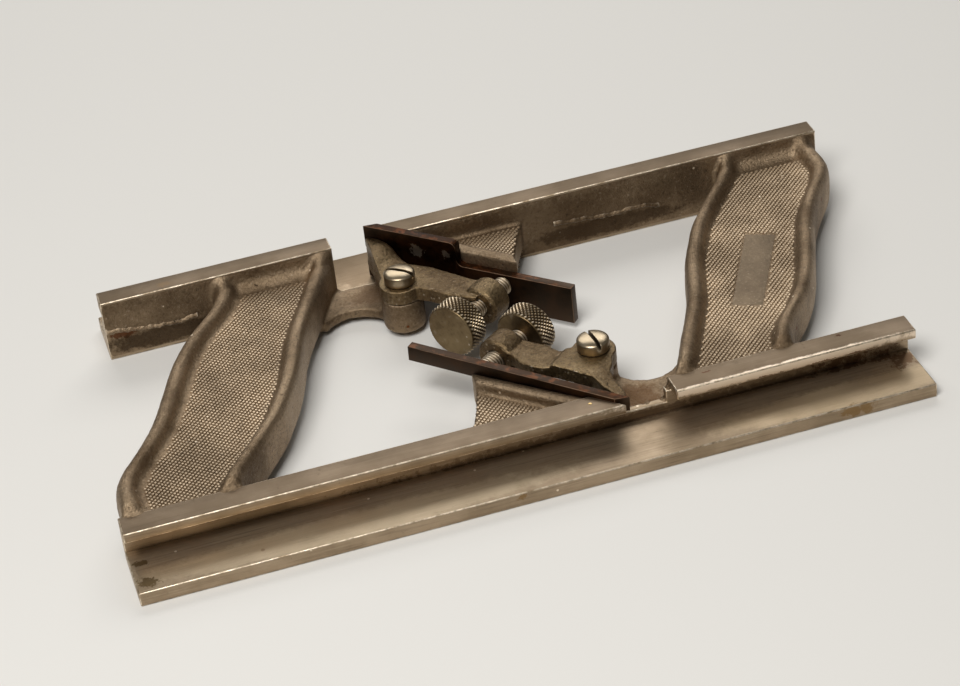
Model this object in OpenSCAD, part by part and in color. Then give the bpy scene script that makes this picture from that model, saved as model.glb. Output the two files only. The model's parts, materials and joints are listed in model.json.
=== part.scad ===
// Double-ended match plane, lying on its fences: the front rail cuts the groove,
// the rear rail cuts the tongue. One iron casting joins both rails through two
// curved handles and looks the same after half a turn about the vertical axis.
// X runs along the rails, Y from the grooving rail to the tonguing rail, Z up.
// The origin is the centre of the casting on the plane that both fences lie on.

/* [Rails] */
// Length of each rail
rail_length = 229; // [200:0.5:260]
// How far the tonguing rail stands along from the grooving rail
rail_stagger = 14; // [0:0.5:24]
// Distance between the outer edges of the two fences
stock_depth = 140; // [132:0.5:150]
// Thickness of the fence flanges
fence_thick = 4.2; // [3:0.1:5.5]
// Width of the grooving fence, from its edge to the depth stop
fence_width = 19.5; // [17:0.1:23]
// Height of the board's groove above the fence, to its middle
groove_height = 8.4; // [7.6:0.1:9.2]
// Thickness of the web behind the depth stop
stop_web = 2.5; // [2:0.1:4]
// How far the skate stands out from the depth stop
skate_reach = 5.6; // [4:0.1:6.5]
// Thickness of the skate that runs in the groove
skate_thick = 2.9; // [2.2:0.1:3.8]
// Thickness of the tonguing sole, from sole face to inner face
sole_thick = 6.8; // [6:0.1:8]
// Height of the tonguing sole above its fence
sole_height = 15.9; // [13:0.1:18]
// Width of the tonguing fence, from its edge to the sole
tongue_fence = 12; // [10:0.1:15]
// Depth of the tongue slot
slot_depth = 4.8; // [3:0.1:5.2]

/* [Handles] */
// Height of the plane that halves the casting
mid_height = 10; // [9:0.1:11]
// Thickness of a handle over its rims
rim_thick = 14.8; // [12:0.1:16]
// Thickness of a handle between its recessed panels
panel_thick = 7.2; // [5:0.1:9]
// Width of a handle's rim
rim_width = 6.4; // [5:0.1:8]
// Length of the round noses in which the rims end at the grooving rail
rim_nose = 4; // [3:0.1:6]
// Radius of the fillets between a handle and the tonguing rail
rail_fillet = 5; // [3:0.1:6]

/* [Beds] */
// Distance from the middle of the stock to the cutters' clamped faces
cutter_offset = 22.2; // [21:0.1:24]
// Width of the bearing wall behind a cutter
bed_wall = 3.9; // [3:0.1:6]
// Distance from the middle of the stock to the start of that wall, along the cutter
bed_start = 5.3; // [2:0.1:10]
// How far the grooving wall's top lies below the top of its rail
groove_bed_drop = 0.35; // [0:0.05:1.5]
// How far the tonguing wall's top lies below the top of its rail
tongue_bed_drop = 1.4; // [0.5:0.1:3]
// How far that wall's start slants back across its width
bed_nose = 3.3; // [0:0.1:5]
// Height of the bearing walls' underside
bed_low = 3.5; // [2.5:0.1:5]
// Top of the checkered web beside the grooving wall
groove_panel = 10; // [8:0.1:12]
// Underside of the checkered webs beside both walls
panel_low = 4.5; // [3.8:0.1:6]
// Top of the checkered web beside the tonguing wall
tongue_panel = 13; // [10:0.1:15]
// Top of the web that ties the grooving clamp boss to its rail
web_top = 7.4; // [6:0.1:9]
// Top of the web that ties the tonguing clamp boss to its rail
tongue_web_top = 5.2; // [4.2:0.1:8]
// Underside of both webs
web_low = 2; // [1:0.1:3]
// Least width of the grooving web, beside the hand opening
web_width = 10.4; // [9:0.1:14]
// Least width of the tonguing web, beside the hand opening
tongue_web_width = 13.2; // [9:0.1:15]
// Radius of the hand opening's round edge there
arc_radius = 10.2; // [8:0.1:12]
// How far that edge's centre lies along from the boss
arc_ahead = 14.8; // [13:0.1:17]
// Length of the mouth in each rail, at the face that meets the board
mouth_length = 14.9; // [12:0.1:17]

/* [Cutters] */
// Thickness of both cutters
cutter_thick = 2.7; // [2:0.1:3.2]
// Width of the groove and of the notch that leaves the tongue
groove_width = 4.75; // [4:0.05:6.35]
// Length of the grooving cutter
groove_cutter_length = 69.4; // [60:0.5:80]
// Tilt at which the grooving cutter is clamped
groove_cutter_tilt = 2.2; // [0:0.1:3]
// How far both cutting edges are drawn back from the set position
drawn_back = 3; // [1:0.1:4]
// Length of the tonguing cutter
tongue_cutter_length = 70.5; // [60:0.5:80]
// Length of the tonguing cutter's wide head
tongue_head_length = 32; // [26:0.5:38]
// Top of the tonguing cutter's head
tongue_head_top = 22.4; // [20.5:0.1:24]
// Top of the tonguing cutter's tail
tongue_tail_top = 14.65; // [13:0.05:16]
// Underside of the tonguing cutter's tail
tongue_tail_low = 2.35; // [1.5:0.05:4]
// Grinding angle of the cutting edges
grind_angle = 38; // [30:1:45]

/* [Clamps] */
// Distance of a pivot from the middle of the stock, along the cutter
pivot_along = 35.3; // [32:0.1:38]
// Distance of a pivot from the middle of the stock, across the cutter
pivot_across = 6.2; // [5:0.1:7.5]
// Radius of a pivot boss
boss_radius = 6.4; // [5.6:0.1:7.4]
// Top of the stock's boss, where the lever turns
boss_top = 12; // [11:0.1:12.8]
// Thickness of a clamp lever at its pivot
lever_thick = 4.6; // [3.6:0.1:5.6]
// Step from the grooving lever's pivot down to its arm
lever_step = 0.8; // [0.4:0.1:1.4]
// Distance from pivot to thumb screw along the grooving cutter's clamped face
groove_arm = 28; // [25:0.1:30]
// Distance from pivot to thumb screw along the tonguing cutter's clamped face
tongue_arm = 27.1; // [24:0.1:29]
// Angle between a thumb screw and a line square to its cutter
screw_tilt = 6; // [0:0.5:8]
// Height of the thumb screws' axes
screw_height = 12.2; // [11.2:0.1:13]
// Radius of the barrel that a thumb screw passes through
barrel_radius = 6.2; // [4.8:0.1:6.6]
// Distance from cutter to barrel, along the thumb screw
barrel_gap = 6.8; // [5:0.1:8]
// Length of that barrel
barrel_length = 8.3; // [6:0.1:10]

/* [Screws] */
// Radius of a pivot screw's shank
pivot_radius = 2.4; // [1.8:0.05:3]
// Radius of a pivot screw's head
pivot_head_radius = 4.7; // [4:0.1:5.4]
// Height of a pivot screw's head at its rim
pivot_head_height = 3.2; // [2:0.1:4]
// Width of a pivot screw's slot
slot_width = 1.1; // [0.8:0.1:1.6]
// Radius of a thumb screw's shank
thumb_radius = 2.9; // [2.2:0.05:3.2]
// Radius of a thumb screw's knurled head
knurl_radius = 8.3; // [6.5:0.1:9]
// Length of a thumb screw's knurled head
knurl_length = 7.1; // [5:0.1:8]
// Distance from barrel to knurled head on the grooving side
groove_screw_gap = 4.3; // [3.5:0.1:6]
// Distance from barrel to knurled head on the tonguing side
tongue_screw_gap = 7.1; // [5:0.1:8]
// Running clearance of screws in their bores
fit_clearance = 0.05; // [0.03:0.01:0.1]

/* [Hidden] */
$fn = 64;

nickel = "#8f8470";
bright_nickel = "#a89b84";
tool_steel = "#35261f";

// Heights
slot_z = fence_thick + groove_height;
skate_low = slot_z - skate_thick / 2;
skate_top = slot_z + skate_thick / 2;
sole_top = fence_thick + sole_height;
lever_top = boss_top + lever_thick;

// Places along Y, from the middle of the stock
half_depth = stock_depth / 2;
stop_face = half_depth - fence_width;
skate_face = stop_face + skate_reach;
rail_inner = stop_face - stop_web;
tongue_sole = half_depth - tongue_fence;
tongue_inner = tongue_sole - sole_thick;
draft = 0.6;
// Longer than any piece, for the reach of a cut
beyond = stock_depth;

// A cutter lies along its own line at 45 degrees. Distances along that line
// count towards the cutting edge, and distances across it count away from the bed.
bed_face = -cutter_offset - cutter_thick;
groove_edge = sqrt(2) * skate_face - cutter_offset - drawn_back;
tongue_edge = sqrt(2) * tongue_sole - cutter_offset - drawn_back;
mouth_end = sqrt(2) * bed_face + skate_face + mouth_length;
// The stop's web is cut a little shorter than the skate, which leaves a step
floor_step = 1.5;
floor_end = mouth_end - floor_step;
// Play of the slots that the cutters lie in, and how far back these start
slot_play = 0.3;
slot_lead = 8;

// Places a piece that is drawn along the cutter's line in the grooving half
module on_cutter_line() { rotate([0, 0, -45]) children(); }
// The tonguing half is the grooving half turned half way round
module tonguing_half() { rotate([0, 0, 180]) children(); }

// Rails

module groove_rail() {
  translate([-rail_length / 2 - rail_stagger / 2, 0, 0])
    rotate([90, 0, 90])
      linear_extrude(rail_length)
        polygon([[-half_depth, 0], [-rail_inner, 0], [-rail_inner, skate_top],
          [-skate_face, skate_top], [-skate_face, skate_low],
          [-stop_face, skate_low], [-stop_face, fence_thick],
          [-half_depth, fence_thick]]);
}

module tongue_rail() {
  notch_low = slot_z - groove_width / 2;
  notch_top = slot_z + groove_width / 2;
  translate([rail_stagger / 2 - rail_length / 2, 0, 0])
    rotate([90, 0, 90])
      linear_extrude(rail_length)
        polygon([[half_depth, 0], [half_depth, fence_thick],
          [tongue_sole, fence_thick], [tongue_sole, notch_low],
          [tongue_sole - slot_depth, notch_low], [tongue_sole - slot_depth, notch_top],
          [tongue_sole, notch_top], [tongue_sole, sole_top],
          [tongue_inner, sole_top], [tongue_inner - draft, mid_height],
          [tongue_inner, 0]]);
}

// Handles

// Outer edge and inner edge of the left handle, as shares of the stock's depth
// and of the rails' length, from the middle
outer_edge = [[-0.371, -0.524], [-0.314, -0.526], [-0.264, -0.525], [-0.221, -0.512],
  [-0.164, -0.488], [-0.086, -0.460], [0.007, -0.436], [0.114, -0.409], [0.200, -0.378],
  [0.264, -0.346], [0.314, -0.328], [0.371, -0.321]];
inner_edge = [[-0.371, -0.389], [-0.329, -0.376], [-0.300, -0.365], [-0.243, -0.338],
  [-0.207, -0.322], [-0.150, -0.298], [-0.100, -0.283], [-0.043, -0.266], [0.029, -0.250],
  [0.100, -0.236], [0.171, -0.217], [0.243, -0.195], [0.300, -0.179], [0.371, -0.156]];

// Smooth curve through such a list: a cubic between neighbours
function span(list, v, i = 0) =
  i >= len(list) - 2 || v < list[i + 1][0] ? i : span(list, v, i + 1);
function slope(list, i) =
  i == 0 ? (list[1][1] - list[0][1]) / (list[1][0] - list[0][0])
  : i == len(list) - 1
  ? (list[i][1] - list[i - 1][1]) / (list[i][0] - list[i - 1][0])
  : (list[i + 1][1] - list[i - 1][1]) / (list[i + 1][0] - list[i - 1][0]);
function curve(list, v) =
  let (i = span(list, v), a = list[i], b = list[i + 1], h = b[0] - a[0],
    u = (v - a[0]) / h, m0 = slope(list, i) * h, m1 = slope(list, i + 1) * h)
  (2 * u ^ 3 - 3 * u ^ 2 + 1) * a[1] + (u ^ 3 - 2 * u ^ 2 + u) * m0
  + (3 * u ^ 2 - 2 * u ^ 3) * b[1] + (u ^ 3 - u ^ 2) * m1;

// Upper half of a handle's section: [share of the rim's width, height share from
// panel to rim top], from the outer flank over the rim down to the panel
rim_profile = [[0, -0.75], [0.02, -0.1], [0.14, 0.5], [0.32, 0.88], [0.5, 1], [0.68, 0.88],
  [0.86, 0.5], [1, 0.14], [1.2, 0]];

// The rims die away in a round nose at the grooving rail, and rims and panels
// sweep up and down in a fillet at the tonguing rail. d is the distance from that rail.
function nose(d) = d >= rim_nose ? 1 : d <= 0 ? 0 : sqrt(1 - (1 - d / rim_nose) ^ 2);
function fillet(d) =
  d >= rail_fillet ? 0
  : d <= 0 ? rail_fillet : rail_fillet - sqrt(rail_fillet ^ 2 - (rail_fillet - d) ^ 2);
function rim_rise(share, d_groove, d_tongue) =
  min(sole_top - mid_height - 0.8,
    panel_thick / 2 + share * nose(d_groove) * (rim_thick - panel_thick) / 2 + fillet(d_tongue));

function section_top(x0, x1, dg, dt) = concat(
  [for (p = rim_profile) [x0 + p[0] * rim_width, rim_rise(p[1], dg, dt)]],
  [for (i = [len(rim_profile) - 1:-1:0])
    [x1 - rim_profile[i][0] * rim_width, rim_rise(rim_profile[i][1], dg, dt)]]);
function section_loop(x0, x1, dg, dt) =
  let (top = section_top(x0, x1, dg, dt), n = len(top))
  concat([for (p = top) [p[0], mid_height + p[1]]],
    [for (i = [n - 1:-1:0]) [top[i][0], mid_height - top[i][1]]]);

rail_bite = 0.4;
end_steps = [-rail_bite, 0, 0.4, 1.2, 2.4, 4, 6];
handle_stations = 20;

// Lofted handle between two rails. Its sections follow both curved edges, and both
// ends reach a little way into the rails.
module handle(near_rail, far_rail, groove_near) {
  span_y = near_rail + far_rail;
  last = end_steps[len(end_steps) - 1];
  steps = concat(end_steps,
    [for (k = [1:handle_stations]) last + (span_y - 2 * last) * k / (handle_stations + 1)],
    [for (i = [len(end_steps) - 1:-1:0]) span_y - end_steps[i]]);
  loops = [for (d = steps)
    let (y = d - near_rail, v = y / stock_depth,
      dg = groove_near ? d : span_y - d, dt = span_y - dg,
      x0 = curve(outer_edge, v) * rail_length, x1 = curve(inner_edge, v) * rail_length)
    [for (p = section_loop(x0, x1, dg, dt)) [p[0], y, p[1]]]];
  n = len(loops[0]);
  half = n / 2;
  last_loop = (len(loops) - 1) * n;
  points = [for (l = loops) each l];
  sides = [for (k = [0:len(loops) - 2], i = [0:n - 1])
    let (a = k * n + i, b = k * n + (i + 1) % n) each [[a, a + n, b + n], [a, b + n, b]]];
  start = [for (i = [0:half - 2]) each [[i, i + 1, n - 2 - i], [i, n - 2 - i, n - 1 - i]]];
  finish = [for (f = start) [last_loop + f[2], last_loop + f[1], last_loop + f[0]]];
  polyhedron(points, concat(start, sides, finish));
}

// Bed, clamp boss and their webs, for one half

// Free edge of a checkered web, from the corner of the wall's nose down to the rail
web_edge = [[-0.4, -0.8], [-2, -7], [-5, -14.5]];
web_foot = 10;
// How far joined shapes reach into each other
overlap = 0.4;

// Bearing wall with a slanted nose, and the web between the wall and its rail
module bed(rail, wall_top, panel_top) {
  foot = bed_face + sqrt(2) * rail;
  nose = bed_start + bed_nose;
  on_cutter_line()
    translate([0, 0, bed_low])
      linear_extrude(wall_top - bed_low)
        polygon([[bed_start, bed_face], [foot + 1, bed_face],
          [foot + 1 - bed_wall, bed_face - bed_wall], [nose, bed_face - bed_wall]]);
  back = bed_face - bed_wall;
  corner = [(nose + back) / sqrt(2), (back - nose) / sqrt(2)];
  inside = corner + [overlap, overlap];
  translate([0, 0, panel_low])
    linear_extrude(panel_top - panel_low)
      polygon([inside, [bed_face * sqrt(2) + rail, -rail - rail_bite],
        [corner[0] - web_foot, -rail - rail_bite], corner + web_edge[2],
        corner + web_edge[1], corner + web_edge[0]]);
}

// How far the web of a boss runs on beside the round edge, and how it meets the boss
web_shoulder = 2.4;
web_flank = 3;
boss_foot = 4;

// Boss that a lever turns on, and its web with the round edge of the hand opening
module clamp_boss(rail, width, top) {
  px = (pivot_along - pivot_across) / sqrt(2);
  py = (-pivot_across - pivot_along) / sqrt(2);
  arc = [px + arc_ahead, -rail + width + arc_radius];
  web_end = arc[0] + arc_radius + web_shoulder;
  translate([0, 0, web_low])
    linear_extrude(top - web_low)
      difference() {
        polygon([[px - boss_radius + overlap / 2, py], [px - boss_foot, -rail - rail_bite],
          [web_end, -rail - rail_bite], [web_end, -rail + width + web_flank], [px, py]]);
        translate(arc) circle(arc_radius);
        translate(arc - [arc_radius, 0]) square(2 * arc_radius);
      }
  translate([px, py, web_low]) cylinder(r = boss_radius, h = boss_top - web_low);
}

module pivot_bore() {
  on_cutter_line()
    translate([pivot_along, -pivot_across, web_low - 1])
      cylinder(r = pivot_radius + fit_clearance, h = boss_top - web_low + 2);
}

module cutter_space(low, high, ahead) {
  on_cutter_line()
    translate([-cutter_offset - slot_lead, bed_face, low])
      cube([beyond, ahead, high - low]);
}

module stock() {
  color(nickel)
    difference() {
      union() {
        groove_rail();
        tongue_rail();
        handle(rail_inner, tongue_inner, true);
        clamp_boss(rail_inner, web_width, web_top);
        bed(rail_inner, skate_top - groove_bed_drop, groove_panel);
        tonguing_half() {
          handle(tongue_inner, rail_inner, false);
          clamp_boss(tongue_inner, tongue_web_width, tongue_web_top);
          bed(tongue_inner, sole_top - tongue_bed_drop, tongue_panel);
        }
      }
      // mouth of the grooving rail: the skate is open from the bed to the mouth's end
      intersection() {
        translate([0, 0, skate_low]) on_cutter_line()
          translate([0, bed_face, 0]) cube([beyond, stop_face, beyond]);
        translate([mouth_end - beyond, -skate_face - 1, skate_low])
          cube([beyond, skate_face - rail_inner + 1, beyond]);
      }
      intersection() {
        translate([0, 0, web_top]) on_cutter_line()
          translate([0, bed_face, 0]) cube([beyond, stop_face, beyond]);
        translate([floor_end - beyond, -skate_face - 1, web_top])
          cube([beyond, skate_face - rail_inner + 1, beyond]);
      }
      // mouth of the tonguing rail, open down to the fence
      tonguing_half() intersection() {
        translate([0, 0, fence_thick]) on_cutter_line()
          translate([0, bed_face, 0]) cube([beyond, stop_face, beyond]);
        translate([mouth_end - beyond, -tongue_sole - 1, fence_thick])
          cube([beyond, tongue_sole - tongue_inner + 2.5, beyond]);
      }
      // the cutters lie in slots through the webs
      cutter_space(slot_z - groove_width / 2 - slot_play, beyond, cutter_thick + slot_play);
      tonguing_half() intersection() {
        cutter_space(-1, beyond, cutter_thick + slot_play);
        translate([-half_depth, -tongue_inner, -1]) cube([stock_depth, stop_face, beyond]);
      }
      pivot_bore();
      tonguing_half() pivot_bore();
    }
}

// Cutters

// Plan of a cutter with its edge at the origin, its clamped face along the line
module cutter_plan(length) {
  bevel = cutter_thick / tan(grind_angle);
  polygon([[0, 0], [-bevel, -cutter_thick], [-length, -cutter_thick], [-length, 0]]);
}

module grooving_cutter() {
  color(tool_steel)
    on_cutter_line()
      translate([groove_edge, -cutter_offset, slot_z - groove_width / 2])
        rotate([0, groove_cutter_tilt, 0])
          linear_extrude(groove_width) cutter_plan(groove_cutter_length);
}

module tonguing_cutter() {
  shoulder = tongue_edge - tongue_head_length;
  head_low = fence_thick + 0.2;
  corner = 2;
  notch = 9;
  color(tool_steel)
    tonguing_half() on_cutter_line()
      difference() {
        translate([tongue_edge, -cutter_offset, tongue_tail_low])
          linear_extrude(tongue_head_top - tongue_tail_low)
            cutter_plan(tongue_cutter_length);
        // outline seen from the clamped face: stepped tail and forked edge
        translate([0, -cutter_offset + 1, 0])
          rotate([90, 0, 0])
            linear_extrude(cutter_thick + 2) {
              difference() {
                translate([shoulder - beyond, tongue_tail_top]) square(beyond);
                translate([shoulder - corner, tongue_tail_top - 1]) square([corner + 1, corner + 1]);
              }
              translate([shoulder - corner, tongue_tail_top + corner]) circle(corner);
              difference() {
                translate([shoulder, tongue_head_top - corner]) square([corner, corner + 1]);
                translate([shoulder + corner, tongue_head_top - corner]) circle(corner);
              }
              translate([shoulder, tongue_tail_low - 1])
                square([beyond, head_low - tongue_tail_low + 1]);
              translate([tongue_edge - notch, slot_z - groove_width / 2])
                square([2 * notch, groove_width]);
            }
      }
}

// Clamp levers, drawn with the pivot at the origin and the toe towards +X

// Plans are drawn for a cutter 16 in front of the pivot, and grow with that distance
lever_scale = (cutter_offset - pivot_across) / 16;
function barrel_middle(arm) = tan(screw_tilt) * (barrel_gap + barrel_length / 2) - arm;

// Places a piece that is drawn along a thumb screw's axis, from the cutter's face
module on_screw_line(arm) {
  translate([-arm, pivot_across - cutter_offset, screw_height])
    rotate([-90, 0, -screw_tilt]) children();
}
module barrel(arm) {
  edge = 0.8;
  on_screw_line(arm)
    translate([0, 0, barrel_gap])
      rotate_extrude()
        polygon([[0, 0], [barrel_radius - edge, 0], [barrel_radius, edge],
          [barrel_radius, barrel_length - edge], [barrel_radius - edge, barrel_length],
          [0, barrel_length]]);
}
module barrel_bore(arm) {
  on_screw_line(arm)
    cylinder(r = thumb_radius + fit_clearance, h = barrel_gap + barrel_length + thumb_radius);
}

module grooving_lever_plan() {
  circle(boss_radius);
  middle = barrel_middle(groove_arm) / lever_scale;
  scale(lever_scale)
    polygon([[middle, -1.5], [-14.7, -1.9], [-9.1, -3.3], [-6.3, -1.5], [0, 0], [6.3, -1],
      [8, -4], [8.6, -6.9], [11, -9.6], [16.3, -13.6], [17.4, -15.2], [17.2, -15.95],
      [15, -15.95], [9.7, -14.3], [5.4, -12.2], [-7.3, -11.4], [-9.4, -12.6],
      [-13, -12.9], [-17.5, -12.2], [-22, -9.6], [middle, -9]]);
}

module tonguing_lever_plan() {
  circle(boss_radius);
  middle = barrel_middle(tongue_arm) / lever_scale;
  scale(lever_scale)
    polygon([[middle, 0.3], [-16.6, 1.5], [-10.2, 0.9], [-6.3, 1.4], [-3, 4.5], [3, 5],
      [6, 1], [9.7, -3.4], [14.2, -7.9], [15.8, -10], [20.4, -14.6], [20, -15.95],
      [16.5, -15.95], [10.2, -14.2], [6.5, -11.8], [3.1, -9.8], [-4.6, -10.5],
      [-19.5, -8.6], [middle, -8.6]]);
}

// Side view of a lever, cut from the plan. Places are scaled with the plan.
module lever_side(points) {
  translate([0, beyond, 0])
    rotate([90, 0, 0])
      linear_extrude(2 * beyond)
        polygon([for (p = points) [p[0] * lever_scale, p[1]]]);
}

// Part of a lever's plan that reaches down beside its cutter, at the toe
toe_start = 9;
module toe_reach(depth) {
  intersection() {
    translate([0, 0, boss_top - depth]) linear_extrude(depth + 0.1) children();
    translate([toe_start * lever_scale, -beyond, 0]) cube(beyond);
  }
}

module grooving_clamp_lever() {
  color(nickel)
    on_cutter_line()
      translate([pivot_along, -pivot_across, 0])
        difference() {
          union() {
            intersection() {
              translate([0, 0, boss_top]) linear_extrude(beyond) grooving_lever_plan();
              lever_side([[-beyond, boss_top], [-beyond, lever_top - lever_step],
                [-8.2, lever_top - lever_step], [-7.6, lever_top], [6, lever_top],
                [11, lever_top - 1.3], [20, lever_top - 2.4], [20, boss_top - 3], [6, boss_top]]);
            }
            toe_reach(2.5) grooving_lever_plan();
            barrel(groove_arm);
          }
          translate([0, 0, boss_top - 1])
            cylinder(r = pivot_radius + fit_clearance, h = lever_thick + 2);
          barrel_bore(groove_arm);
        }
}

module tonguing_clamp_lever() {
  color(nickel)
    tonguing_half() on_cutter_line()
      translate([pivot_along, -pivot_across, 0])
        difference() {
          union() {
            intersection() {
              translate([0, 0, boss_top]) linear_extrude(beyond) tonguing_lever_plan();
              lever_side([[-beyond, boss_top], [-beyond, lever_top], [6, lever_top],
                [9, lever_top + 0.4], [11, lever_top + 1.4], [13, lever_top + 2.2],
                [25, lever_top + 2.4], [25, boss_top]]);
            }
            toe_reach(4) tonguing_lever_plan();
            barrel(tongue_arm);
          }
          translate([0, 0, boss_top - 1])
            cylinder(r = pivot_radius + fit_clearance, h = lever_thick + 2);
          barrel_bore(tongue_arm);
        }
}

// Screws

module pivot_screw(turn) {
  dome = 1;
  edge = 0.4;
  on_cutter_line()
    translate([pivot_along, -pivot_across, 0])
      difference() {
        rotate_extrude()
          polygon([[0, web_low], [pivot_radius, web_low], [pivot_radius, lever_top],
            [pivot_head_radius, lever_top], [pivot_head_radius, lever_top + pivot_head_height - edge],
            [pivot_head_radius - edge, lever_top + pivot_head_height],
            [pivot_head_radius * 0.7, lever_top + pivot_head_height + dome * 0.6],
            [pivot_head_radius * 0.35, lever_top + pivot_head_height + dome * 0.92],
            [0, lever_top + pivot_head_height + dome]]);
        rotate([0, 0, turn])
          translate([-pivot_head_radius - 1, -slot_width / 2, lever_top + pivot_head_height - 1])
            cube([2 * pivot_head_radius + 2, slot_width, 2 * dome + 1]);
      }
}

// The domed tip meets the cutter at its middle, because the screw stands at a tilt
module thumb_screw(arm, gap) {
  chamfer = 0.6;
  head_at = barrel_gap + barrel_length + gap;
  tip = fit_clearance;
  on_cutter_line()
    translate([pivot_along, -pivot_across, 0])
      on_screw_line(arm)
        rotate_extrude()
          polygon([[0, tip], [thumb_radius * 0.4, tip + 0.2], [thumb_radius * 0.75, tip + 0.65],
            [thumb_radius, tip + 1.4], [thumb_radius, head_at], [knurl_radius - chamfer, head_at],
            [knurl_radius, head_at + chamfer], [knurl_radius, head_at + knurl_length - chamfer],
            [knurl_radius - chamfer, head_at + knurl_length], [0, head_at + knurl_length]]);
}

// Turns of the slots in the pivot screws' heads
groove_slot_turn = -40;
tongue_slot_turn = 4;

module grooving_pivot_screw() { color(bright_nickel) pivot_screw(groove_slot_turn); }
module tonguing_pivot_screw() { color(bright_nickel) tonguing_half() pivot_screw(tongue_slot_turn); }
module grooving_thumb_screw() { color(bright_nickel) thumb_screw(groove_arm, groove_screw_gap); }
module tonguing_thumb_screw() {
  color(bright_nickel) tonguing_half() thumb_screw(tongue_arm, tongue_screw_gap);
}

stock();
grooving_cutter();
tonguing_cutter();
grooving_clamp_lever();
tonguing_clamp_lever();
grooving_pivot_screw();
tonguing_pivot_screw();
grooving_thumb_screw();
tonguing_thumb_screw();
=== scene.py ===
"""Looks of a double-ended tongue and groove plane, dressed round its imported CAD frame.

The plane lies on its two fences. X runs along the rails, Y from the grooving rail to
the tonguing rail and Z up, as in the CAD frame. Sizes are written in millimetres and
turned into Blender's metres by MM.
"""

import json
import logging
import math
from collections.abc import Callable, Sequence
from dataclasses import dataclass, field
from enum import Enum
from typing import Any

import bmesh
import bpy
from mathutils import Matrix, Vector, noise
from mathutils.bvhtree import BVHTree

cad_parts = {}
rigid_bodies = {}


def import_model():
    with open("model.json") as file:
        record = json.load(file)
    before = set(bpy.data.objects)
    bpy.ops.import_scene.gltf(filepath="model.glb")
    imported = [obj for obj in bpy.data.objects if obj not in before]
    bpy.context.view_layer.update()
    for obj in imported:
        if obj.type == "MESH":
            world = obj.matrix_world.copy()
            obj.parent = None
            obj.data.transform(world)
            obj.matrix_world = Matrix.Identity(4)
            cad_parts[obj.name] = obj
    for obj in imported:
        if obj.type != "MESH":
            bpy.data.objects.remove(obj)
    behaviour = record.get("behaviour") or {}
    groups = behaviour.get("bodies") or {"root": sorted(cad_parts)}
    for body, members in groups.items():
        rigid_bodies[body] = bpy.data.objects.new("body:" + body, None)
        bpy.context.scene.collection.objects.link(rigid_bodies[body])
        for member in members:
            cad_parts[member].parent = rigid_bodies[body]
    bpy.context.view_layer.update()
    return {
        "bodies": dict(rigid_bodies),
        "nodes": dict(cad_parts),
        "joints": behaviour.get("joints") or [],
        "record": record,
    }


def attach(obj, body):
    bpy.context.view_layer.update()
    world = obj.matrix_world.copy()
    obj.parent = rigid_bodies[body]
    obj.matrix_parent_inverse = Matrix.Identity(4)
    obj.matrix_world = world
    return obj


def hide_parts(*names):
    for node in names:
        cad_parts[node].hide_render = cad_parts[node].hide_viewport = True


LOG = logging.getLogger("match_plane")
MM = 0.001


class Half(Enum):
    """The two halves of the plane, with the turn about Z that places each one."""

    GROOVING = 0.0
    TONGUING = math.pi

    @property
    def word(self) -> str:
        """Word that starts the names of this half's own bodies and nodes."""
        return self.name.lower()


class Slot(Enum):
    """The record's material slots."""

    NICKEL = "nickel_plated_iron"
    STEEL = "dark_tool_steel"
    POLISHED = "polished_nickel_steel"


# Colour and nodes


def linear(code: str) -> tuple[float, float, float, float]:
    """Turns an sRGB hex colour into linear RGBA.

    Args:
        code: Six hex digits, with or without a leading hash.

    Returns:
        The colour as four linear numbers, opaque.
    """
    digits = code.lstrip("#")
    parts = [int(digits[i : i + 2], 16) / 255 for i in (0, 2, 4)]
    light = [c / 12.92 if c <= 0.04045 else ((c + 0.055) / 1.055) ** 2.4 for c in parts]
    return (light[0], light[1], light[2], 1.0)


def soft_step(start: float, full: float, least: float = 0.0,
              most: float = 1.0) -> dict[str | int, Any]:
    """Settings of a Map Range node that rises softly from one value to another.

    Args:
        start: Source value that gives least.
        full: Source value that gives most.
        least: Result at start.
        most: Result at full.

    Returns:
        The settings by name.
    """
    return {"interpolation_type": "SMOOTHSTEP", "From Min": start, "From Max": full,
            "To Min": least, "To Max": most}


@dataclass(frozen=True)
class Blotches:
    """Noise with a real size.

    Its largest blotches have the size in millimetres, the octaves are how often it gets
    finer, the bite is how strong the finer ones are, and the seed chooses a pattern.
    """

    size_mm: float
    octaves: float
    bite: float
    seed: float = 0.0

    def settings(self) -> dict[str | int, Any]:
        """Settings of the Noise Texture node, which gives about 0.5 in the mean."""
        return {"noise_dimensions": "4D", "W": self.seed, "Scale": 1 / self.size_mm,
                "Detail": self.octaves, "Roughness": self.bite}


@dataclass(frozen=True)
class Spot:
    """Spot of one colour on a surface, in millimetres, with a more or less ragged edge."""

    centre: tuple[float, float, float]
    size: tuple[float, float, float]
    colour: str = "#6b4a2c"
    strength: float = 0.75
    ragged: float = 4.0


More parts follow.
